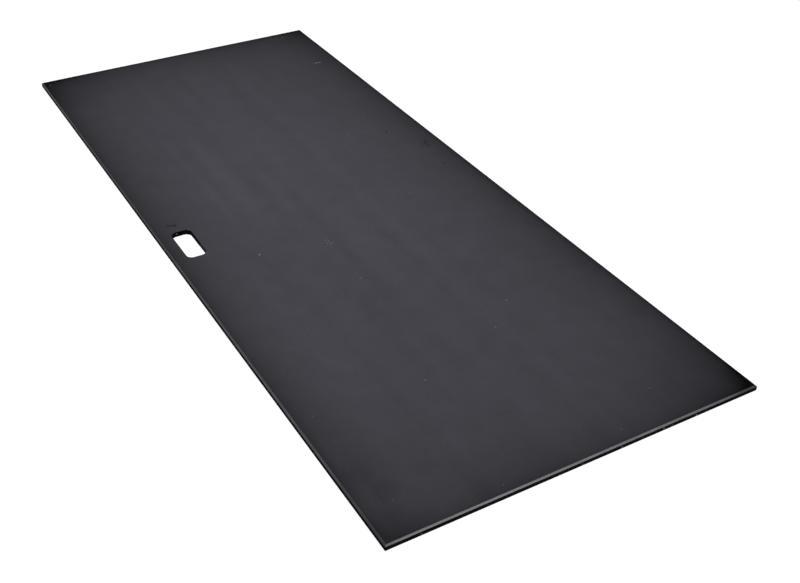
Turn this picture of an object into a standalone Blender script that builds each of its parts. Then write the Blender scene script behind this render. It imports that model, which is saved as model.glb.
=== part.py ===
"""Ground protection mat.

One flat sheet of charcoal recycled polyethylene, laid on grass or soft soil to carry feet, barrows and wheels.
The upper outer edge is chamfered so that wheels roll on to it, every other edge is only broken, and a hand hole
beside the middle of one long edge serves to lift and drag the sheet.

Units are metres and +Z is up. The mat lies on its underside, with its length along Y and its width along X.
The origin is the middle of the underside, and the hand hole is on the -X side.
"""

import math

import bmesh
import bpy

# The sheet
MAT_LENGTH = 2.400
MAT_WIDTH = 1.000
MAT_THICKNESS = 0.015
EDGE_CHAMFER = 0.0035
ARRIS = 0.0008

# The hand hole
HOLE_LENGTH = 0.138
HOLE_WIDTH = 0.056
HOLE_CORNER_RADIUS = 0.017
HOLE_CORNER_SEGMENTS = 12
HOLE_TO_LONG_EDGE = 0.040

# How far the hole's cutter stands out of both faces of the sheet
CUTTER_CLEARANCE = 0.010

# Square edges are broken; the chamfer's own edges, at 45 and 60 degrees, stay crisp
BROKEN_EDGE_ANGLE = math.radians(75.0)

CHARCOAL = (0.050, 0.051, 0.057, 1.0)
SHEET_ROUGHNESS = 0.62


def clear_scene():
    """Remove every object, so that the file gives the same result each run."""
    for obj in list(bpy.data.objects):
        bpy.data.objects.remove(obj, do_unlink=True)


def new_collection(name):
    """Return a new collection, linked to the scene."""
    collection = bpy.data.collections.new(name)
    bpy.context.scene.collection.children.link(collection)
    return collection


def plastic(name, colour, roughness):
    """Return a plain dielectric material."""
    material = bpy.data.materials.new(name)
    material.use_nodes = True
    material.diffuse_color = colour
    shader = material.node_tree.nodes["Principled BSDF"]
    shader.inputs["Base Color"].default_value = colour
    shader.inputs["Roughness"].default_value = roughness
    shader.inputs["Metallic"].default_value = 0.0
    return material


def block(name, size, centre, collection):
    """Add a rectangular block whose vertices carry its size, so that bevel widths are true."""
    bpy.ops.mesh.primitive_cube_add(size=1.0, location=centre)
    obj = bpy.context.active_object
    obj.name = name
    obj.data.name = name
    for vertex in obj.data.vertices:
        for axis in range(3):
            vertex.co[axis] *= size[axis]
    for owner in obj.users_collection:
        owner.objects.unlink(obj)
    collection.objects.link(obj)
    return obj


def weight_edges(obj, wanted):
    """Give a bevel weight of 1 to each edge whose two end points pass the test."""
    mesh = bmesh.new()
    mesh.from_mesh(obj.data)
    weights = mesh.edges.layers.float.new("bevel_weight_edge")
    for edge in mesh.edges:
        first, second = (vertex.co for vertex in edge.verts)
        edge[weights] = 1.0 if wanted(first, second) else 0.0
    mesh.to_mesh(obj.data)
    mesh.free()


def on_upper_outline(first, second):
    """Tell whether an edge of a centred block lies in its top face."""
    return first.z > 0.0 and second.z > 0.0


def upright(first, second):
    """Tell whether an edge of a centred block is vertical."""
    return first.z * second.z < 0.0


def bevel(obj, name, width, segments, limit):
    """Add a bevel of the given width, with equal setback on both faces."""
    modifier = obj.modifiers.new(name, "BEVEL")
    modifier.offset_type = "OFFSET"
    modifier.width = width
    modifier.segments = segments
    modifier.limit_method = limit
    return modifier


def hand_hole_cutter(collection):
    """Make the upright slug of the hand hole, with its four rounded corners."""
    size = (HOLE_WIDTH, HOLE_LENGTH, MAT_THICKNESS + 2.0 * CUTTER_CLEARANCE)
    centre = (HOLE_TO_LONG_EDGE + (HOLE_WIDTH - MAT_WIDTH) / 2.0, 0.0, MAT_THICKNESS / 2.0)
    cutter = block("hand_hole_cutter", size, centre, collection)
    weight_edges(cutter, upright)
    bevel(cutter, "corner_radius", HOLE_CORNER_RADIUS, HOLE_CORNER_SEGMENTS, "WEIGHT")
    cutter.hide_render = True
    cutter.display_type = "WIRE"
    return cutter


def mat_sheet(cutter, collection):
    """Make the sheet: the blank, its chamfer, the hand hole, and then the broken edges."""
    size = (MAT_WIDTH, MAT_LENGTH, MAT_THICKNESS)
    sheet = block("mat", size, (0.0, 0.0, MAT_THICKNESS / 2.0), collection)
    weight_edges(sheet, on_upper_outline)
    bevel(sheet, "edge_chamfer", EDGE_CHAMFER, 1, "WEIGHT")

    hole = sheet.modifiers.new("hand_hole", "BOOLEAN")
    hole.operation = "DIFFERENCE"
    hole.solver = "EXACT"
    hole.object = cutter

    broken = bevel(sheet, "broken_edges", ARRIS, 1, "ANGLE")
    broken.angle_limit = BROKEN_EDGE_ANGLE
    sheet.data.materials.append(plastic("charcoal_polyethylene", CHARCOAL, SHEET_ROUGHNESS))
    return sheet


def main():
    clear_scene()
    parts = new_collection("ground_protection_mat")
    cutters = new_collection("cutters")
    mat_sheet(hand_hole_cutter(cutters), parts)


main()
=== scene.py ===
"""Ground protection mat: the finished sheet and its plain studio.

One sheet of charcoal polyethylene, pressed smooth and sawn to size, with a routed chamfer round its
upper edge and a routed hand hole. The file is laid out as an add-on, with one operator for the sheet
and one for the stage, and is run as a script.
"""

import math
import random

import bmesh
import bpy
from bpy.props import FloatProperty, FloatVectorProperty, IntProperty, PointerProperty
from mathutils import Matrix, Vector


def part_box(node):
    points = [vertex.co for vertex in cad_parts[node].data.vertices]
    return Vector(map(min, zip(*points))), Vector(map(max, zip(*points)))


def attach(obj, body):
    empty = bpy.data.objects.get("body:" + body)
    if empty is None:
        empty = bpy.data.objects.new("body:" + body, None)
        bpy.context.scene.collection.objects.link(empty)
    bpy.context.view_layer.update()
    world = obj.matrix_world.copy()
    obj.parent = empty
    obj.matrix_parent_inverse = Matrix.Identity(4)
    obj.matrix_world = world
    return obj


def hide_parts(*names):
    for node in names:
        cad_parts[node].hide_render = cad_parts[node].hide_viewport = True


bl_info = {
    "name": "Ground Protection Mat",
    "version": (1, 0, 0),
    "blender": (4, 5, 0),
    "location": "3D View > Sidebar > Ground Mat",
    "description": "Models and finishes a plastic ground protection mat in a plain studio",
    "category": "Add Mesh",
}

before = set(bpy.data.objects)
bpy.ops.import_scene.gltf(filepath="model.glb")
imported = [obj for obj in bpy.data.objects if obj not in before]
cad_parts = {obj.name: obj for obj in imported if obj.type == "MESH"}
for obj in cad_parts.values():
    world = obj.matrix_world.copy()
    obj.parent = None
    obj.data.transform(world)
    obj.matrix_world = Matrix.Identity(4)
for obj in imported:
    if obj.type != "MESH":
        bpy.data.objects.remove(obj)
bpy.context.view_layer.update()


# Sizes read from the frame

NODE = "mat"
LOW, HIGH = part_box(NODE)
WIDTH = HIGH.x - LOW.x
LENGTH = HIGH.y - LOW.y
THICKNESS = HIGH.z - LOW.z

# Places closer than this count as the same
SAME = 1e-5

# The chamfer lies closer to the sheet's outline than this, and the hand hole further in
BORDER = 0.02


def on_hole_wall(point):
    """Tell whether a point of the frame's sheet lies on the hand hole's wall."""
    within = all(LOW[axis] + BORDER < point[axis] < HIGH[axis] - BORDER for axis in (0, 1))
    return within and LOW.z + SAME < point.z < HIGH.z - SAME


def read_sheet():
    """Return the chamfer's width and the hand hole's low and high corners and corner radius."""
    points = [vertex.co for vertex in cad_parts[NODE].data.vertices]
    chamfer = HIGH.x - max(p.x for p in points if p.z > HIGH.z - SAME)
    wall = [p for p in points if on_hole_wall(p)]
    low = Vector(min(p[axis] for p in wall) for axis in range(3))
    high = Vector(max(p[axis] for p in wall) for axis in range(3))
    straight = max(p.y for p in wall if p.x < low.x + SAME)
    return chamfer, low, high, high.y - straight


CHAMFER, HOLE_LOW, HOLE_HIGH, HOLE_RADIUS = read_sheet()


# Marks of making and use, and patches of painted light and shade, where they are on the sheet

# (x, y, angle in degrees, half length, half width, strength), on the upper face
PALE_MARKS = (
    # A short scuff towards the far right corner
    (0.401, 0.893, 4.0, 0.0045, 0.0012, 1.0),
    (0.416, 0.894, 2.0, 0.0078, 0.0028, 1.0),
    (0.428, 0.892, 0.0, 0.0048, 0.0027, 1.0),
    # A row of faint dots along the far edge
    (0.406, 1.160, 10.0, 0.0055, 0.0018, 0.70),
    (0.365, 1.167, 0.0, 0.0036, 0.0016, 0.40),
    (0.378, 1.160, 0.0, 0.0036, 0.0016, 0.45),
    (0.388, 1.164, 0.0, 0.0030, 0.0016, 0.35),
    (0.409, 1.144, 0.0, 0.0036, 0.0016, 0.35),
    (0.422, 1.158, 0.0, 0.0034, 0.0016, 0.40),
    (0.440, 1.159, 0.0, 0.0034, 0.0016, 0.35),
    # The brightest dot, inward of the hand hole
    (-0.286, -0.144, 60.0, 0.0040, 0.0020, 1.0),
    # A cluster of dots near the middle
    (-0.096, -0.166, 30.0, 0.0020, 0.0012, 1.0),
    (-0.091, -0.174, 80.0, 0.0020, 0.0012, 1.0),
    (-0.098, -0.182, 10.0, 0.0020, 0.0012, 1.0),
    (-0.093, -0.190, 50.0, 0.0020, 0.0012, 1.0),
    (-0.086, -0.188, 0.0, 0.0020, 0.0012, 1.0),
    # Single dots
    (-0.100, -0.373, 15.0, 0.0020, 0.0012, 1.0),
    (0.181, -0.639, 40.0, 0.0022, 0.0014, 1.0),
    (0.092, -0.720, 70.0, 0.0021, 0.0013, 1.0),
    (-0.167, -0.809, 10.0, 0.0020, 0.0012, 1.0),
    (0.238, -0.059, 30.0, 0.0022, 0.0013, 1.0),
    (0.252, 0.344, 50.0, 0.0022, 0.0013, 1.0),
    (0.125, -1.162, 20.0, 0.0018, 0.0012, 0.65),
    (-0.202, -1.176, 60.0, 0.0014, 0.0010, 0.55),
    (-0.425, -1.100, 35.0, 0.0014, 0.0010, 0.55),
    (0.273, -1.085, 75.0, 0.0018, 0.0012, 0.75),
    (-0.453, -0.793, 5.0, 0.0015, 0.0009, 0.55),
    (-0.478, 1.166, 5.0, 0.0030, 0.0020, 0.80),
)
DARK_MARKS = (
    # A nick beside the hand hole
    (-0.450, 0.113, 8.0, 0.0065, 0.0034, 0.60),
    (-0.433, 0.104, 24.0, 0.0055, 0.0040, 0.60),
    (-0.441, 0.108, 15.0, 0.0060, 0.0026, 0.45),
    # Rubs along the long edge that has no hole
    (0.446, 0.190, 60.0, 0.0110, 0.0036, 0.36),
    (0.445, 0.170, 75.0, 0.0070, 0.0034, 0.32),
    (0.423, 0.046, 50.0, 0.0090, 0.0060, 0.24),
    (0.371, 0.309, 65.0, 0.0090, 0.0028, 0.40),
)

# How far the outline of a mark strays from a plain oval
PALE_RAGGED = 0.0016
DARK_RAGGED = 0.0070

# As the marks, patches of painted light and shade that lighten or darken the upper face, and a few
# small smears
LIGHT_SHADE_AND_SMEARS = (
    # Broad patches of painted light and shade
    (-0.470, -1.170, 0.0, 0.180, 0.140, 0.19),
    (-0.260, -0.830, 90.0, 0.330, 0.200, 0.05),
    (0.000, -0.600, 0.0, 0.600, 0.400, 0.02),
    (0.400, -1.110, 0.0, 0.190, 0.130, -0.06),
    (-0.400, -0.560, 90.0, 0.480, 0.110, 0.12),
    (0.000, 1.100, 0.0, 0.500, 0.240, 0.04),
    (-0.440, 1.100, 0.0, 0.200, 0.140, -0.08),
    # Painted light and shade along the edges and in the corners
    (0.495, -1.170, 90.0, 0.060, 0.040, -0.06),
    (-0.480, -1.020, 90.0, 0.170, 0.030, 0.09),
    (-0.500, 1.200, 0.0, 0.120, 0.035, -0.10),
    (0.500, 0.000, 90.0, 1.500, 0.019, -0.12),
    (0.000, 1.200, 0.0, 0.650, 0.022, -0.15),
    # Small smears
    (-0.441, 0.108, 12.0, 0.017, 0.008, -0.07),
    (-0.345, -0.615, -58.0, 0.100, 0.011, 0.05),
    (-0.423, -1.070, 20.0, 0.034, 0.028, -0.10),
    (0.437, 0.178, 60.0, 0.032, 0.017, -0.09),
)

# As the marks, painted highlight where the routed chamfer's colour is paler and painted shade where it
# is darker, as the light along the chamfer rises and falls
CHAMFER_LIGHT_AND_SHADE = (
    (-0.500, 1.150, 90.0, 1.400, 0.060, -0.85),
    (0.500, -1.200, 0.0, 0.072, 0.060, -0.65),
    (-0.500, -1.200, 0.0, 0.025, 0.060, -0.25),
    (-0.500, -1.110, 90.0, 0.120, 0.035, -0.35),
    (0.130, -1.200, 0.0, 0.140, 0.060, 0.24),
    (-0.300, -1.200, 0.0, 0.200, 0.060, 0.08),
)

# As the marks, where the hand hole's wall is paler
HOLE_PATCHES = (
    (HOLE_HIGH.x, -0.042, 90.0, 0.0300, 0.0100, 9.0),
)

# (x, half width, change in brightness), streaks that run the length of the sheet
STREAKS = (
    (-0.280, 0.011, 0.035),
    (-0.210, 0.022, 0.055),
    (-0.150, 0.020, -0.035),
    (-0.100, 0.011, 0.035),
    (-0.070, 0.015, -0.035),
    (-0.020, 0.025, 0.035),
    (0.070, 0.020, -0.030),
    (0.120, 0.016, 0.030),
)

# (angle in radians, spacing, share of the lines that is kept), for each direction of fine scratches
HAIRLINES = (
    (0.10, 0.030, 0.16),
    (1.25, 0.045, 0.12),
    (-0.70, 0.060, 0.10),
)

# (x, y, z, half width), small chips in the near sawn face and round the hand hole
CHIPS = (
    (-0.416, LOW.y, 0.0055, 0.0014),
    (-0.256, LOW.y, 0.0074, 0.0013),
    (0.158, LOW.y, 0.0051, 0.0018),
    (0.217, LOW.y, 0.0072, 0.0016),
    (0.242, LOW.y, 0.0061, 0.0013),
    (0.024, LOW.y, 0.0012, 0.0018),
    (-0.441, HOLE_HIGH.y, 0.0090, 0.0020),
    (HOLE_HIGH.x - 0.004, HOLE_HIGH.y - 0.005, HIGH.z, 0.0018),
    (HOLE_HIGH.x - 0.0035, HOLE_LOW.y + 0.0045, HIGH.z, 0.0027),
    (-0.011, LOW.y, 0.0055, 0.0020),
    (0.314, LOW.y, 0.0048, 0.0015),
    (0.098, LOW.y, 0.0068, 0.0013),
)

# How ragged the ball that cuts a chip is, as a share of its half width
CHIP_RAGGED = 0.16

# The least and the most that it is stretched along each axis, and the most that it is turned about it
CHIP_STRETCH = ((0.9, 1.9), (0.35, 0.6), (0.45, 0.9))
CHIP_TURN = (0.3, 0.7, 0.3)
CHIP_SEED = 7


# Properties a user would change


def length(name, text, value):
    """Return a float property that holds a length."""
    return FloatProperty(
        name=name,
        description=text,
        default=value,
        min=0.0,
        unit="LENGTH",
        subtype="DISTANCE",
    )


def amount(name, text, value, top=1.0):
    """Return a float property that holds a plain amount."""
    return FloatProperty(name=name, description=text, default=value, min=0.0, max=top, subtype="FACTOR")


def colour(name, text, value):
    """Return a colour property."""
    return FloatVectorProperty(
        name=name,
        description=text,
        default=value,
        min=0.0,
        max=1.0,
        size=3,
        subtype="COLOR",
    )


class MatShape(bpy.types.PropertyGroup):
    edge_round: length("Edge Rounding", "Radius of the lower edges and the hand hole's rims", 0.0008)
    chamfer_round: length("Chamfer Rounding", "Radius along the chamfer and at the corners", 0.0005)
    cell: length("Cell", "Size of the grid that carries the sheet's slight waves", 0.05)
    wave_height: length("Wave Height", "How far the sheet's waves stand above the floor", 0.0006)
    wave_length: length("Wave Length", "Distance between the sheet's waves", 0.55)
    corner_segments: IntProperty(
        name="Corner Segments",
        description="Steps round a corner of the hand hole",
        default=16,
        min=4,
    )


class MatFinish(bpy.types.PropertyGroup):
    charcoal: colour("Charcoal", "Pressed faces", (0.0542, 0.0545, 0.0645))
    routed: colour("Routed Plastic", "Chamfer left by the router", (0.080, 0.081, 0.087))
    # The sawn colour is near black as painted shade: the sawn sides and the hand hole's wall take it in
    # place of the charcoal, and the dark marks are tinted towards it
    sawn_in_painted_shade: colour("Sawn Plastic in Painted Shade", "Cut sides and hole wall", (0.0033, 0.0033, 0.0037))
    torn: colour("Torn Plastic", "Fresh chips", (0.180, 0.185, 0.200))
    roughness: amount("Roughness", "Roughness of the pressed faces", 0.75)
    # The fades and reaches below set painted shade, which darkens the pressed faces towards their edges
    # and corners
    edge_shade_side: amount("Side Fade", "How much the pressed faces' haze fades at the long edges", 0.55)
    edge_shade_end: amount("End Fade", "How much the pressed faces' haze fades at the short edges", 0.50)
    edge_shade_reach_side: length("Side Reach", "Distance over which the haze fades to the long edges", 0.095)
    edge_shade_reach_end: length("End Reach", "Distance over which the haze fades to the short edges", 0.110)


class MatStage(bpy.types.PropertyGroup):
    floor_size: length("Floor", "Side of the square floor", 40.0)
    camera_lens: FloatProperty(
        name="Lens",
        description="Focal length of the camera",
        default=50.11,
        unit="CAMERA",
    )
    fill: amount("Fill", "Strength of the even light from all round", 0.40, 2.0)


# Helpers for modelling


def only(obj):
    """Make one object the selected and active one."""
    bpy.ops.object.select_all(action="DESELECT")
    obj.select_set(True)
    bpy.context.view_layer.objects.active = obj


def block(name, low, high):
    """Add a box between two corners, with its place in its mesh."""
    bpy.ops.object.select_all(action="DESELECT")
    bpy.ops.mesh.primitive_cube_add(size=1.0, location=(low + high) / 2.0, scale=high - low)
    obj = bpy.context.object
    obj.name = name
    bpy.ops.object.transform_apply(location=True, rotation=True, scale=True)
    return obj


def select_edges(obj, wanted):
    """In edit mode, select just the edges that pass the test."""
    mesh = bmesh.from_edit_mesh(obj.data)
    for part in (*mesh.verts, *mesh.edges, *mesh.faces):
        part.select = False
    for edge in mesh.edges:
        if wanted(edge):
            edge.select_set(True)
    bmesh.update_edit_mesh(obj.data)


def bevel_edges(obj, wanted, width, segments):
    """Bevel the edges that pass the test."""
    only(obj)
    bpy.ops.object.mode_set(mode="EDIT")
    bpy.ops.mesh.select_mode(type="EDGE")
    select_edges(obj, wanted)
    bpy.ops.mesh.bevel(offset=width, segments=segments, profile=0.5, affect="EDGES", clamp_overlap=True)
    bpy.ops.object.mode_set(mode="OBJECT")


def apply_modifier(obj, kind, name, **settings):
    """Add a modifier, set it and apply it."""
    only(obj)
    modifier = obj.modifiers.new(name, kind)
    for key, value in settings.items():
        setattr(modifier, key, value)
    bpy.ops.object.modifier_apply(modifier=modifier.name)


def cut(obj, cutter):
    """Cut one object out of another, with the cutter's own materials on the cut faces."""
    apply_modifier(
        obj,
        "BOOLEAN",
        "cut",
        operation="DIFFERENCE",
        solver="EXACT",
        object=cutter,
        material_mode="TRANSFER",
    )
    bpy.data.objects.remove(cutter, do_unlink=True)


def turn_between(edge):
    """Return the angle between an edge's two faces, in degrees."""
    return math.degrees(edge.calc_face_angle(0.0))


# Steps of the sheet's shape

# An edge that turns by more than these angles, in degrees, is square, or else sharp
SQUARE_TURN = 75.0
SHARP_TURN = 40.0

# Across an edge that turns by less than this, the shading is smooth
SMOOTH_TURN = 35.0


def in_upper_outline(edge):
    """Tell whether an edge of the blank lies in its upper face."""
    return all(vertex.co.z > HIGH.z - SAME for vertex in edge.verts)


def is_upright(edge):
    """Tell whether an edge is vertical."""
    first, second = (vertex.co for vertex in edge.verts)
    return abs(first.z - second.z) > THICKNESS / 2.0


def is_square_and_level(edge):
    """Tell whether an edge belongs to the lower outline or to the hand hole's rims."""
    return turn_between(edge) > SQUARE_TURN and not is_upright(edge)


def is_still_sharp(edge):
    """Tell whether an edge is the chamfer's or an upright corner, once the others are rounded."""
    return turn_between(edge) > SHARP_TURN


def cut_hand_hole(sheet, shape):
    """Cut the hand hole, with rounded corners, through the sheet."""
    reach = Vector((0.0, 0.0, THICKNESS))
    low = Vector((HOLE_LOW.x, HOLE_LOW.y, LOW.z)) - reach
    high = Vector((HOLE_HIGH.x, HOLE_HIGH.y, HIGH.z)) + reach
    plug = block("hand_hole_plug", low, high)
    bevel_edges(plug, is_upright, HOLE_RADIUS, shape.corner_segments)
    cut(sheet, plug)


def grid_cuts(sheet, shape):
    """Cut the sheet into cells, so that it can carry slight waves."""
    only(sheet)
    bpy.ops.object.mode_set(mode="EDIT")
    for axis in (0, 1):
        normal = Vector((0.0, 0.0, 0.0))
        normal[axis] = 1.0
        extent = HIGH[axis] - LOW[axis]
        count = round(extent / shape.cell)
        for step in range(1, count):
            place = Vector((0.0, 0.0, 0.0))
            place[axis] = LOW[axis] + extent * step / count
            bpy.ops.mesh.select_all(action="SELECT")
            bpy.ops.mesh.bisect(plane_co=place, plane_no=normal)
    bpy.ops.object.mode_set(mode="OBJECT")


def add_waves(sheet, shape):
    """Lift the sheet in slight waves, always upwards so that it stays above the floor."""
    clouds = bpy.data.textures.new("sheet_waves", "CLOUDS")
    clouds.noise_scale = shape.wave_length
    clouds.noise_depth = 0
    apply_modifier(
        sheet,
        "DISPLACE",
        "waves",
        texture=clouds,
        texture_coords="LOCAL",
        direction="Z",
        strength=shape.wave_height,
        mid_level=0.0,
    )


def chip_cutter(torn):
    """Make one object of every chip's cutter, a ragged ball that is stretched and turned by chance."""
    draw = random.Random(CHIP_SEED)
    bpy.ops.object.select_all(action="DESELECT")
    cutters = []
    for number, (x, y, z, half) in enumerate(CHIPS):
        bpy.ops.mesh.primitive_ico_sphere_add(subdivisions=2, radius=half, location=(x, y, z))
        ball = bpy.context.object
        bpy.ops.object.mode_set(mode="EDIT")
        bpy.ops.mesh.select_all(action="SELECT")
        bpy.ops.transform.vertex_random(offset=half * CHIP_RAGGED, normal=0.5, seed=number + CHIP_SEED)
        bpy.ops.object.mode_set(mode="OBJECT")
        ball.scale = [draw.uniform(least, most) for least, most in CHIP_STRETCH]
        ball.rotation_euler = [draw.uniform(-most, most) for most in CHIP_TURN]
        cutters.append(ball)
    for ball in cutters:
        ball.select_set(True)
    bpy.context.view_layer.objects.active = cutters[0]
    bpy.ops.object.join()
    bpy.ops.object.transform_apply(location=True, rotation=True, scale=True)
    chips = bpy.context.object
    chips.data.materials.append(torn)
    return chips


# The places of the materials in the sheet's list, where that of the chips comes after these
UPPER, UNDER, ROUTED, SAWN, HOLE_WALL = range(5)

# A face whose normal points up by more than these counts as flat, or else as part of the chamfer
FLAT = 0.985
SLOPED = 0.3

# The hand hole's rounded rims reach no further from it than this
HOLE_MARGIN = 0.004


def is_by_hole(place):
    """Tell whether a place is in the hand hole or at its rims."""
    margin = Vector((HOLE_MARGIN, HOLE_MARGIN, 0.0))
    low = HOLE_LOW - margin
    high = HOLE_HIGH + margin
    return low.x < place.x < high.x and low.y < place.y < high.y


def face_material(centre, normal):
    """Return which of the materials a face takes, from where it is and how it faces."""
    if normal.z > FLAT:
        return UPPER
    if normal.z < -FLAT:
        return UNDER
    if is_by_hole(centre):
        return HOLE_WALL
    if normal.z > SLOPED:
        return ROUTED
    return SAWN


# Shader helpers

WHITE = (1.0, 1.0, 1.0, 1.0)

# Times the first, a position loses its height, and times the second, a value becomes a height
LEVEL = (1.0, 1.0, 0.0)
UPWARD = (0.0, 0.0, 1.0)


def feed(tree, socket, value):
    """Give a socket a value, or link it to another socket."""
    if isinstance(value, bpy.types.NodeSocket):
        tree.links.new(value, socket)
    else:
        socket.default_value = value


def add_node(tree, kind, inputs=None, **settings):
    """Add a node, set it, and feed each named input."""
    node = tree.nodes.new(kind)
    for key, value in settings.items():
        setattr(node, key, value)
    for key, value in (inputs or {}).items():
        feed(tree, node.inputs[key], value)
    return node


def calc(tree, operation, first, second=0.0, third=0.0):
    """Add a Math node and return its result."""
    inputs = {0: first, 1: second, 2: third}
    return add_node(tree, "ShaderNodeMath", inputs, operation=operation).outputs[0]


def vector_calc(tree, operation, inputs, output="Vector"):
    """Add a Vector Math node and return its result."""
    return add_node(tree, "ShaderNodeVectorMath", inputs, operation=operation).outputs[output]


def scaled(tree, vector, factor):
    """Multiply a colour or a position by one value."""
    return vector_calc(tree, "SCALE", {0: vector, "Scale": factor})


def stretched(tree, position, scale):
    """Scale a position by a different amount on each axis."""
    return vector_calc(tree, "MULTIPLY", {0: position, 1: scale})


def centred(tree, value):
    """Move a value between 0 and 1 so that it lies round 0."""
    return calc(tree, "SUBTRACT", value, 0.5)


def swinging(tree, middle, swing, value):
    """Return a value that swings round its middle as another goes from 0 to 1."""
    return calc(tree, "ADD", middle - swing / 2.0, calc(tree, "MULTIPLY", value, swing))


def ramp(tree, value, low, high, to_low=0.0, to_high=1.0):
    """Map a value smoothly from one range to another."""
    inputs = {"Value": value, "From Min": low, "From Max": high, "To Min": to_low, "To Max": to_high}
    node = add_node(tree, "ShaderNodeMapRange", inputs, interpolation_type="SMOOTHSTEP")
    return node.outputs["Result"]


def tint(tree, factor, first, second):
    """Mix two colours by a factor."""
    # A Mix node has sockets for each kind of value, and these are the ones for colours
    inputs = {0: factor, 6: first, 7: second}
    return add_node(tree, "ShaderNodeMix", inputs, data_type="RGBA").outputs[2]


def noise(tree, position, scale, detail=2.0, roughness=0.5, output="Fac"):
    """Add a noise texture and return its value, or its colour."""
    inputs = {"Vector": position, "Scale": scale, "Detail": detail, "Roughness": roughness}
    return add_node(tree, "ShaderNodeTexNoise", inputs).outputs[output]


def scattered(tree, position, scale, share):
    """Scatter points, and return how far the nearest is and 1 if it is in the share that is kept."""
    inputs = {"Vector": position, "Scale": scale}
    cells = add_node(tree, "ShaderNodeTexVoronoi", inputs, feature="F1").outputs
    chance = add_node(tree, "ShaderNodeTexWhiteNoise", {"Vector": cells["Color"]}).outputs["Value"]
    return cells["Distance"], calc(tree, "LESS_THAN", chance, share)


def new_group(name, amounts, outputs):
    """Start a shader node group that takes a position and named amounts, and puts out named values."""
    group = bpy.data.node_groups.new(name, "ShaderNodeTree")
    add_socket = group.interface.new_socket
    add_socket(name="Position", in_out="INPUT", socket_type="NodeSocketVector")
    for label, value in amounts.items():
        add_socket(name=label, in_out="INPUT", socket_type="NodeSocketFloat").default_value = value
    for label in outputs:
        add_socket(name=label, in_out="OUTPUT", socket_type="NodeSocketFloat")
    given = group.nodes.new("NodeGroupInput").outputs
    result = group.nodes.new("NodeGroupOutput").inputs
    return group, given, result


def use_effect(tree, effect, position, amounts=None):
    """Place an effect's node group in a material and return its outputs."""
    inputs = {"Position": position, **(amounts or {})}
    return add_node(tree, "ShaderNodeGroup", inputs, node_tree=effect).outputs


# Effects that the materials share, each a node group


def fading(tree, inset, reach, strength):
    """Return a value that is strength at no inset and dies away over the reach."""
    ratio = calc(tree, "DIVIDE", calc(tree, "MAXIMUM", inset, 0.0), reach)
    return calc(tree, "MULTIPLY", strength, calc(tree, "EXPONENT", calc(tree, "MULTIPLY", ratio, -1.0)))


def painted_edge_shade_group():
    """Painted shade of a pressed face, as a brightness that is 1 in the middle and falls towards the
    long and the short edges, most in the corners and along the rim.
    """
    amounts = {
        "Half Width": 0.5,
        "Half Length": 1.2,
        "Side Fade": 0.5,
        "End Fade": 0.5,
        "Side Reach": 0.10,
        "End Reach": 0.10,
        "Rim Fade": 0.2,
    }
    group, given, result = new_group("painted_edge_shade", amounts, ("Painted Light",))
    rim_reach = 0.006
    faintest = 0.10

    split = add_node(group, "ShaderNodeSeparateXYZ", {0: given["Position"]}).outputs
    painted_light = 1.0
    insets = []
    for axis, half, edge in (("X", "Half Width", "Side"), ("Y", "Half Length", "End")):
        inset = calc(group, "SUBTRACT", given[half], calc(group, "ABSOLUTE", split[axis]))
        insets.append(inset)
        loss = fading(group, inset, given[edge + " Reach"], given[edge + " Fade"])
        painted_light = calc(group, "SUBTRACT", painted_light, loss)
    loss = fading(group, calc(group, "MINIMUM", *insets), rim_reach, given["Rim Fade"])
    painted_light = calc(group, "SUBTRACT", painted_light, loss)
    group.links.new(calc(group, "MAXIMUM", painted_light, faintest), result["Painted Light"])
    return group


def press_streak_group():
    """Streaks along a pressed face, each of stated place and width, as a brightness close to 1."""
    group, given, result = new_group("press_streaks", {}, ("Tone",))
    wander_scale = (0.0, 1.3, 0.0)
    wander_width = 0.030
    patch_scale = (4.0, 2.0, 0.0)
    patch_low, patch_high = 0.35, 0.65
    weakest, strongest = 0.4, 1.5

    wander = centred(group, noise(group, stretched(group, given["Position"], wander_scale), 1.0))
    place = add_node(group, "ShaderNodeSeparateXYZ", {0: given["Position"]}).outputs["X"]
    place = calc(group, "MULTIPLY_ADD", wander, wander_width, place)
    total = 0.0
    for x, half_width, change in STREAKS:
        ratio = calc(group, "DIVIDE", calc(group, "SUBTRACT", place, x), half_width)
        square = calc(group, "MULTIPLY", ratio, ratio)
        bell = calc(group, "EXPONENT", calc(group, "MULTIPLY", square, -1.0))
        total = calc(group, "MULTIPLY_ADD", bell, change, total)
    patches = noise(group, stretched(group, given["Position"], patch_scale), 1.0)
    strength = ramp(group, patches, patch_low, patch_high, weakest, strongest)
    group.links.new(calc(group, "MULTIPLY_ADD", total, strength, 1.0), result["Tone"])
    return group


def press_tone_group():
    """Fine streaks, cloudy patches and mottle of a pressed face, as a brightness close to 1."""
    amounts = {"Streaks": 0.05, "Clouds": 0.062, "Mottle": 0.17}
    group, given, result = new_group("press_tone", amounts, ("Tone",))
    # (scale on each axis, detail, roughness, amount that sets it, share of that amount)
    layers = (
        ((14.0, 0.55, 1.0), 2.0, 0.5, "Streaks", 2.0),
        ((75.0, 1.4, 1.0), 3.0, 0.5, "Streaks", 1.8),
        ((16.0, 16.0, 16.0), 4.0, 0.6, "Clouds", 4.2),
        ((3.2, 3.2, 3.2), 2.0, 0.5, "Clouds", 1.6),
        ((130.0, 130.0, 130.0), 4.0, 0.75, "Mottle", 2.0),
    )

    tone = 1.0
    for scale, detail, roughness, label, share in layers:
        value = noise(group, stretched(group, given["Position"], scale), 1.0, detail, roughness)
        swing = calc(group, "MULTIPLY", centred(group, value), given[label])
        tone = calc(group, "MULTIPLY_ADD", swing, share, tone)
    group.links.new(tone, result["Tone"])
    return group


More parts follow.
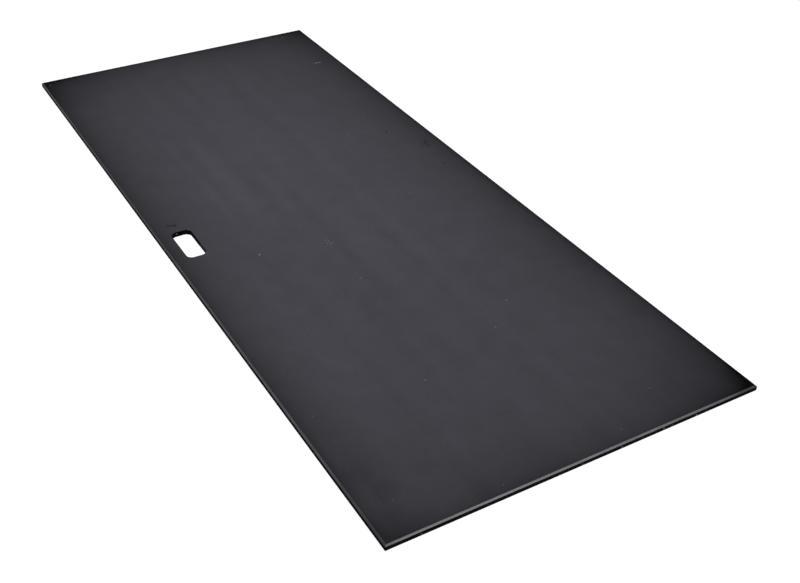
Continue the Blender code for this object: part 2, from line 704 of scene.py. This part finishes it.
def press_grain_group():
    """The fine, even grain of a pressed face, as a height between 0 and 1."""
    group, given, result = new_group("press_grain", {}, ("Height",))
    grain_scale = 420.0
    swell_scale = 60.0
    grain_share = 0.6

    grain = noise(group, given["Position"], grain_scale, 3.0, 0.6)
    swell = noise(group, given["Position"], swell_scale)
    fine = calc(group, "MULTIPLY", grain, grain_share)
    broad = calc(group, "MULTIPLY", swell, 1.0 - grain_share)
    group.links.new(calc(group, "ADD", fine, broad), result["Height"])
    return group


def hairline_group():
    """Fine scratches in one direction, as a mask."""
    amounts = {"Angle": 0.0, "Spacing": 0.02, "Amount": 0.3}
    group, given, result = new_group("hairlines", amounts, ("Mask",))
    bend_scale = 3.0
    bend = (0.02, 0.02, 0.0)
    slender = (1.0, 0.09, 0.09)
    core, edge = 0.012, 0.035

    inputs = {"Vector": given["Position"], "Angle": given["Angle"]}
    turned = add_node(group, "ShaderNodeVectorRotate", inputs, rotation_type="Z_AXIS").outputs["Vector"]
    drift = noise(group, turned, bend_scale, 1.0, output="Color")
    bent = vector_calc(group, "MULTIPLY_ADD", {0: drift, 1: bend, 2: turned})
    spread = scaled(group, bent, calc(group, "DIVIDE", 1.0, given["Spacing"]))
    distance, kept = scattered(group, stretched(group, spread, slender), 1.0, given["Amount"])
    line = ramp(group, distance, core, edge, 1.0, 0.0)
    group.links.new(calc(group, "MULTIPLY", line, kept), result["Mask"])
    return group


def speck_group():
    """Tiny pale specks scattered over a face, as a mask."""
    amounts = {"Spacing": 0.05, "Amount": 0.3, "Size": 0.03}
    group, given, result = new_group("specks", amounts, ("Mask",))
    soft_edge = 1.6

    scale = calc(group, "DIVIDE", 1.0, given["Spacing"])
    distance, kept = scattered(group, given["Position"], scale, given["Amount"])
    outer = calc(group, "MULTIPLY", given["Size"], soft_edge)
    dot = ramp(group, distance, given["Size"], outer, 1.0, 0.0)
    group.links.new(calc(group, "MULTIPLY", dot, kept), result["Mask"])
    return group


def marks_group(name, marks, ragged=0.0):
    """Soft-edged spots, each of stated place, direction, size and strength, added up as a mask."""
    group, given, result = new_group(name, {}, ("Mask",))
    core, edge = 0.15, 1.7
    stray_scale = 0.7

    carried = stretched(group, given["Position"], LEVEL)
    if ragged:
        stray = noise(group, given["Position"], stray_scale / ragged, 1.0, output="Color")
        inputs = {0: stray, 1: (ragged, ragged, 0.0), 2: carried}
        carried = vector_calc(group, "MULTIPLY_ADD", inputs)
        inputs = {0: carried, 1: (ragged / 2.0, ragged / 2.0, 0.0)}
        carried = vector_calc(group, "SUBTRACT", inputs)
    # The mask so far travels as the height of the position, which keeps the spots in one chain
    for x, y, angle, half_length, half_width, strength in marks:
        inputs = {
            "Vector": carried,
            "Location": (x, y, 0.0),
            "Rotation": (0.0, 0.0, math.radians(angle)),
            "Scale": (half_length, half_width, 1.0),
        }
        away = add_node(group, "ShaderNodeMapping", inputs, vector_type="TEXTURE").outputs["Vector"]
        away = stretched(group, away, LEVEL)
        distance = vector_calc(group, "DOT_PRODUCT", {0: away, 1: away}, "Value")
        spot = ramp(group, distance, core, edge, strength, 0.0)
        carried = vector_calc(group, "MULTIPLY_ADD", {0: spot, 1: UPWARD, 2: carried})
    mask = add_node(group, "ShaderNodeSeparateXYZ", {0: carried}).outputs["Z"]
    group.links.new(mask, result["Mask"])
    return group


def cutter_marks_group():
    """Ripples that a saw or router leaves on a cut face, as a height and a brightness close to 1."""
    amounts = {"Pitch": 0.0028, "Contrast": 0.2}
    group, given, result = new_group("cutter_marks", amounts, ("Height", "Tone"))
    upright = (1.0, 1.0, 0.12)
    drift_scale = 9.0
    patch_scale = 45.0

    flat = stretched(group, given["Position"], upright)
    ripple = noise(group, flat, calc(group, "DIVIDE", 0.5, given["Pitch"]), 1.0, 0.4)
    drift = noise(group, given["Position"], drift_scale)
    patch = noise(group, flat, patch_scale)
    swing = calc(group, "ADD", centred(group, ripple), centred(group, patch))
    swing = calc(group, "ADD", swing, centred(group, drift))
    contrast = calc(group, "MULTIPLY", given["Contrast"], 2.0)
    tone = calc(group, "ADD", 1.0, calc(group, "MULTIPLY", swing, contrast))
    group.links.new(ripple, result["Height"])
    group.links.new(tone, result["Tone"])
    return group


def make_effects():
    """Build every effect once, and return them by name."""
    return {
        "painted_light": painted_edge_shade_group(),
        "streaks": press_streak_group(),
        "tone": press_tone_group(),
        "grain": press_grain_group(),
        "hairlines": hairline_group(),
        "specks": speck_group(),
        "cutter": cutter_marks_group(),
        "pale_marks": marks_group("pale_marks", PALE_MARKS, PALE_RAGGED),
        "dark_marks": marks_group("dark_marks", DARK_MARKS, DARK_RAGGED),
        "light_shade_and_smears": marks_group("light_shade_and_smears", LIGHT_SHADE_AND_SMEARS),
        "chamfer_light_and_shade": marks_group("chamfer_light_and_shade", CHAMFER_LIGHT_AND_SHADE),
        "hole_patches": marks_group("hole_patches", HOLE_PATCHES),
    }


# Materials


def plain_shader(name, specular):
    """Start a material, and return it with its tree, its shader and the position on the object."""
    material = bpy.data.materials.new(name)
    material.use_nodes = True
    tree = material.node_tree
    shader = tree.nodes["Principled BSDF"]
    shader.inputs["Specular IOR Level"].default_value = specular
    position = tree.nodes.new("ShaderNodeTexCoord").outputs["Object"]
    return material, tree, shader, position


def bump(tree, shader, height, strength, distance):
    """Give a shader its relief."""
    inputs = {"Height": height, "Strength": strength, "Distance": distance}
    normal = add_node(tree, "ShaderNodeBump", inputs).outputs["Normal"]
    tree.links.new(normal, shader.inputs["Normal"])


def painted_light_and_tone(tree, finish, effects, position, marks):
    """Return the brightness of a pressed face: its painted shade towards the edges and corners, with
    the marks also the patches of painted light and shade and the smears, its cloudy tone and its
    streaks.
    """
    amounts = {
        "Half Width": WIDTH / 2.0,
        "Half Length": LENGTH / 2.0,
        "Side Fade": finish.edge_shade_side,
        "End Fade": finish.edge_shade_end,
        "Side Reach": finish.edge_shade_reach_side,
        "End Reach": finish.edge_shade_reach_end,
        # The rim fade is painted shade along the last few millimetres of the outline
        "Rim Fade": 0.20,
    }
    painted_light = use_effect(tree, effects["painted_light"], position, amounts)["Painted Light"]
    if marks:
        # The upper face also takes the patches of painted light and shade, and the smears
        painted_light = calc(tree, "ADD", painted_light, use_effect(tree, effects["light_shade_and_smears"], position)["Mask"])
    tone = use_effect(tree, effects["tone"], position)["Tone"]
    streaks = use_effect(tree, effects["streaks"], position)["Tone"]
    return calc(tree, "MULTIPLY", calc(tree, "MULTIPLY", painted_light, tone), streaks)


def all_hairlines(tree, effects, position):
    """Lay the hairlines of every direction over each other, as a mask."""
    scratches = 0.0
    for angle, spacing, share in HAIRLINES:
        amounts = {"Angle": angle, "Spacing": spacing, "Amount": share}
        mask = use_effect(tree, effects["hairlines"], position, amounts)["Mask"]
        scratches = calc(tree, "MAXIMUM", scratches, mask)
    return scratches


def pressed_face(name, finish, effects, marks):
    """Material of a pressed face: charcoal darkened by painted shade towards its edges and corners,
    with streaks, grain, hairlines and specks.
    """
    material, tree, shader, position = plain_shader(name, specular=0.03)
    speck_amounts = {"Spacing": 0.060, "Amount": 0.40, "Size": 0.018}
    faintness = 0.20
    grain_swing = 0.12
    scratch_gloss = -0.12
    mark_depth = 0.8

    light = painted_light_and_tone(tree, finish, effects, position, marks)
    base = scaled(tree, (*finish.charcoal,), light)
    scratches = all_hairlines(tree, effects, position)
    specks = use_effect(tree, effects["specks"], position, speck_amounts)["Mask"]
    pale = calc(tree, "MULTIPLY", calc(tree, "MAXIMUM", specks, scratches), faintness)
    if marks:
        pale = calc(tree, "MAXIMUM", pale, use_effect(tree, effects["pale_marks"], position)["Mask"])
        dark = use_effect(tree, effects["dark_marks"], position)["Mask"]
        base = tint(tree, dark, base, (*finish.sawn_in_painted_shade, 1.0))
    base = tint(tree, pale, base, (*finish.torn, 1.0))
    tree.links.new(base, shader.inputs["Base Color"])

    grain = use_effect(tree, effects["grain"], position)["Height"]
    rough = swinging(tree, finish.roughness, grain_swing, grain)
    rough = calc(tree, "ADD", rough, calc(tree, "MULTIPLY", scratches, scratch_gloss))
    tree.links.new(rough, shader.inputs["Roughness"])
    relief = calc(tree, "SUBTRACT", grain, calc(tree, "MULTIPLY", pale, mark_depth))
    bump(tree, shader, relief, strength=0.35, distance=0.0003)
    return material


def cut_face(name, base_colour, effects, roughness, specular, pitch, contrast, patches=None):
    """Material of a face that was sawn or routed."""
    material, tree, shader, position = plain_shader(name, specular)
    ripple_swing = 0.16

    marks = use_effect(tree, effects["cutter"], position, {"Pitch": pitch, "Contrast": contrast})
    tone = marks["Tone"]
    # On the chamfer the patches are painted highlight and painted shade, on the hole wall a paler patch
    if patches:
        change = use_effect(tree, effects[patches], position)["Mask"]
        tone = calc(tree, "MULTIPLY_ADD", tone, change, tone)
    tree.links.new(scaled(tree, (*base_colour,), tone), shader.inputs["Base Color"])
    rough = swinging(tree, roughness, ripple_swing, marks["Height"])
    tree.links.new(rough, shader.inputs["Roughness"])
    bump(tree, shader, marks["Height"], strength=0.4, distance=0.0002)
    return material


def torn_face(name, finish, effects):
    """Material of a fresh chip, paler than the skin round it."""
    material, tree, shader, position = plain_shader(name, specular=0.3)
    darkest = 0.6
    roughness = 0.55
    grain_swing = 0.2

    grain = use_effect(tree, effects["grain"], position)["Height"]
    light = calc(tree, "ADD", darkest, grain)
    tree.links.new(scaled(tree, (*finish.torn,), light), shader.inputs["Base Color"])
    tree.links.new(swinging(tree, roughness, grain_swing, grain), shader.inputs["Roughness"])
    bump(tree, shader, grain, strength=0.6, distance=0.0004)
    return material


def sheet_materials(finish):
    """Return the sheet's materials in the order of their places in its list, the chips' one last."""
    effects = make_effects()
    chamfer = {"roughness": 0.34, "specular": 0.18, "pitch": 0.0028, "contrast": 0.30}
    sawn_in_painted_shade = {"roughness": 0.85, "specular": 0.01, "pitch": 0.0016, "contrast": 0.75}
    hole = {"roughness": 0.80, "specular": 0.01, "pitch": 0.0022, "contrast": 0.60}
    return (
        pressed_face("pressed_face", finish, effects, marks=True),
        pressed_face("pressed_underside", finish, effects, marks=False),
        cut_face("routed_chamfer_with_painted_light", finish.routed, effects, patches="chamfer_light_and_shade", **chamfer),
        # The sawn sides and the hand hole's wall take the near-black painted shade as their colour
        cut_face("sawn_edge_in_painted_shade", finish.sawn_in_painted_shade, effects, **sawn_in_painted_shade),
        cut_face("routed_hole_in_painted_shade", finish.sawn_in_painted_shade, effects, patches="hole_patches", **hole),
        torn_face("torn_plastic", finish, effects),
    )


# The sheet's operator


class GROUNDMAT_OT_sheet(bpy.types.Operator):
    """Model the sheet over its frame node, with chamfer, hand hole, rounded edges, waves and chips"""

    bl_idname = "groundmat.sheet"
    bl_label = "Model and Finish the Sheet"

    def execute(self, context):
        shape = context.scene.groundmat_shape
        *face_materials, torn = sheet_materials(context.scene.groundmat_finish)

        sheet = block("mat_sheet", LOW, HIGH)
        bevel_edges(sheet, in_upper_outline, CHAMFER, segments=1)
        cut_hand_hole(sheet, shape)
        bevel_edges(sheet, is_square_and_level, shape.edge_round, segments=3)
        bevel_edges(sheet, is_still_sharp, shape.chamfer_round, segments=2)
        grid_cuts(sheet, shape)

        sheet.data.materials.clear()
        for material in face_materials:
            sheet.data.materials.append(material)
        for face in sheet.data.polygons:
            face.material_index = face_material(face.center, face.normal)
        add_waves(sheet, shape)
        cut(sheet, chip_cutter(torn))

        only(sheet)
        bpy.ops.object.shade_smooth_by_angle(angle=math.radians(SMOOTH_TURN))
        by_area = {"mode": "FACE_AREA", "weight": 50, "keep_sharp": True}
        apply_modifier(sheet, "WEIGHTED_NORMAL", "flat_faces", **by_area)

        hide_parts(NODE)
        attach(sheet, "root")
        return {"FINISHED"}


# The stage

# The floor lies this far below the sheet, and shows its glow, by this share, over its pale grey
FLOOR_GAP = 0.0002
FLOOR_GREY = (0.80, 0.80, 0.80, 1.0)
FLOOR_GLOW = 1.17
FLOOR_GLOW_SHARE = 0.80

# (name, place, target, width and length, power)
SOFTBOXES = (
    ("overhead_softbox", (-0.13, 0.23, 1.2), (-0.13, 0.22, 0.0), (1.2, 1.6), 13.0),
    ("front_softbox", (0.16, -2.22, 0.74), (0.0, -1.2, 0.0), (1.0, 0.4), 13.2),
)

CAMERA_PLACE = (-1.2573, -2.4758, 1.6952)
CAMERA_TARGET = (-0.0815, -0.4472, 0.015)
CAMERA_ROLL = 0.735
CAMERA_SHIFT = (0.0244, -0.0010)
SENSOR_WIDTH = 36.0


def white_for_the_eye(tree):
    """Return 1 for rays that show the background, straight, in gloss or through glass, or else 0."""
    path = tree.nodes.new("ShaderNodeLightPath").outputs
    shown = calc(tree, "MAXIMUM", path["Is Camera Ray"], path["Is Glossy Ray"])
    return calc(tree, "MAXIMUM", shown, path["Is Transmission Ray"])


def make_world(fill):
    """Make the world: even fill light, seen as white."""
    world = bpy.data.worlds.new("studio")
    bpy.context.scene.world = world
    world.use_nodes = True
    tree = world.node_tree
    background = tree.nodes["Background"]
    background.inputs["Color"].default_value = WHITE
    strength = ramp(tree, white_for_the_eye(tree), 0.0, 1.0, fill, 1.0)
    tree.links.new(strength, background.inputs["Strength"])


def make_floor(size):
    """Make the pale floor, which shows white and keeps the sheet's shadow."""
    bpy.ops.object.select_all(action="DESELECT")
    bpy.ops.mesh.primitive_plane_add(size=size, location=(0.0, 0.0, LOW.z - FLOOR_GAP))
    floor = bpy.context.object
    floor.name = "studio_floor"
    material = bpy.data.materials.new("studio_floor")
    material.use_nodes = True
    tree = material.node_tree
    tree.nodes.clear()
    diffuse = add_node(tree, "ShaderNodeBsdfDiffuse", {"Color": FLOOR_GREY}).outputs["BSDF"]
    light = add_node(tree, "ShaderNodeEmission", {"Color": WHITE, "Strength": FLOOR_GLOW})
    shown = calc(tree, "MULTIPLY", white_for_the_eye(tree), FLOOR_GLOW_SHARE)
    mixed = add_node(tree, "ShaderNodeMixShader", {0: shown, 1: diffuse, 2: light.outputs["Emission"]})
    add_node(tree, "ShaderNodeOutputMaterial", {"Surface": mixed.outputs["Shader"]})
    floor.data.materials.append(material)


def aim(obj, place, target, roll=0.0):
    """Put a lamp or camera at a place, facing a target, turned about its own axis by roll."""
    look = (Vector(target) - Vector(place)).to_track_quat("-Z", "Y").to_matrix().to_4x4()
    obj.matrix_world = Matrix.Translation(place) @ look @ Matrix.Rotation(roll, 4, "Z")


def add_softbox(name, place, target, size, power):
    """Add a rectangular soft light."""
    bpy.ops.object.light_add(type="AREA")
    lamp = bpy.context.object
    lamp.name = name
    lamp.data.shape = "RECTANGLE"
    lamp.data.size, lamp.data.size_y = size
    lamp.data.energy = power
    aim(lamp, place, target)


def make_camera(lens):
    """Make the camera at the viewing angle of the photograph."""
    bpy.ops.object.camera_add()
    camera = bpy.context.object
    camera.name = "studio_camera"
    camera.data.sensor_width = SENSOR_WIDTH
    camera.data.lens = lens
    camera.data.shift_x, camera.data.shift_y = CAMERA_SHIFT
    aim(camera, CAMERA_PLACE, CAMERA_TARGET, math.radians(CAMERA_ROLL))
    bpy.context.scene.camera = camera


class GROUNDMAT_OT_stage(bpy.types.Operator):
    """Make the white floor, the soft lights and the camera"""

    bl_idname = "groundmat.stage"
    bl_label = "Make the Stage"

    def execute(self, context):
        stage = context.scene.groundmat_stage
        make_world(stage.fill)
        make_floor(stage.floor_size)
        for softbox in SOFTBOXES:
            add_softbox(*softbox)
        make_camera(stage.camera_lens)
        context.scene.view_settings.view_transform = "Standard"
        return {"FINISHED"}


# The panel and the add-on's start


class GROUNDMAT_PT_panel(bpy.types.Panel):
    """Sidebar panel with the sheet's and the stage's settings and steps"""

    bl_idname = "GROUNDMAT_PT_panel"
    bl_label = "Ground Protection Mat"
    bl_space_type = "VIEW_3D"
    bl_region_type = "UI"
    bl_category = "Ground Mat"

    def draw(self, context):
        scene = context.scene
        for operator, settings in (
            (GROUNDMAT_OT_sheet, (scene.groundmat_shape, scene.groundmat_finish)),
            (GROUNDMAT_OT_stage, (scene.groundmat_stage,)),
        ):
            box = self.layout.box()
            for group in settings:
                for name in group.__annotations__:
                    box.prop(group, name)
            box.operator(operator.bl_idname)


CLASSES = (MatShape, MatFinish, MatStage, GROUNDMAT_OT_sheet, GROUNDMAT_OT_stage, GROUNDMAT_PT_panel)


def register():
    """Register the classes, and give the scene its settings."""
    for cls in CLASSES:
        bpy.utils.register_class(cls)
    bpy.types.Scene.groundmat_shape = PointerProperty(type=MatShape)
    bpy.types.Scene.groundmat_finish = PointerProperty(type=MatFinish)
    bpy.types.Scene.groundmat_stage = PointerProperty(type=MatStage)


def unregister():
    """Take the settings and the classes away again."""
    del bpy.types.Scene.groundmat_stage
    del bpy.types.Scene.groundmat_finish
    del bpy.types.Scene.groundmat_shape
    for cls in reversed(CLASSES):
        bpy.utils.unregister_class(cls)


def main():
    """Make the sheet and the stage."""
    register()
    bpy.ops.groundmat.sheet()
    bpy.ops.groundmat.stage()


if __name__ == "__main__":
    main()
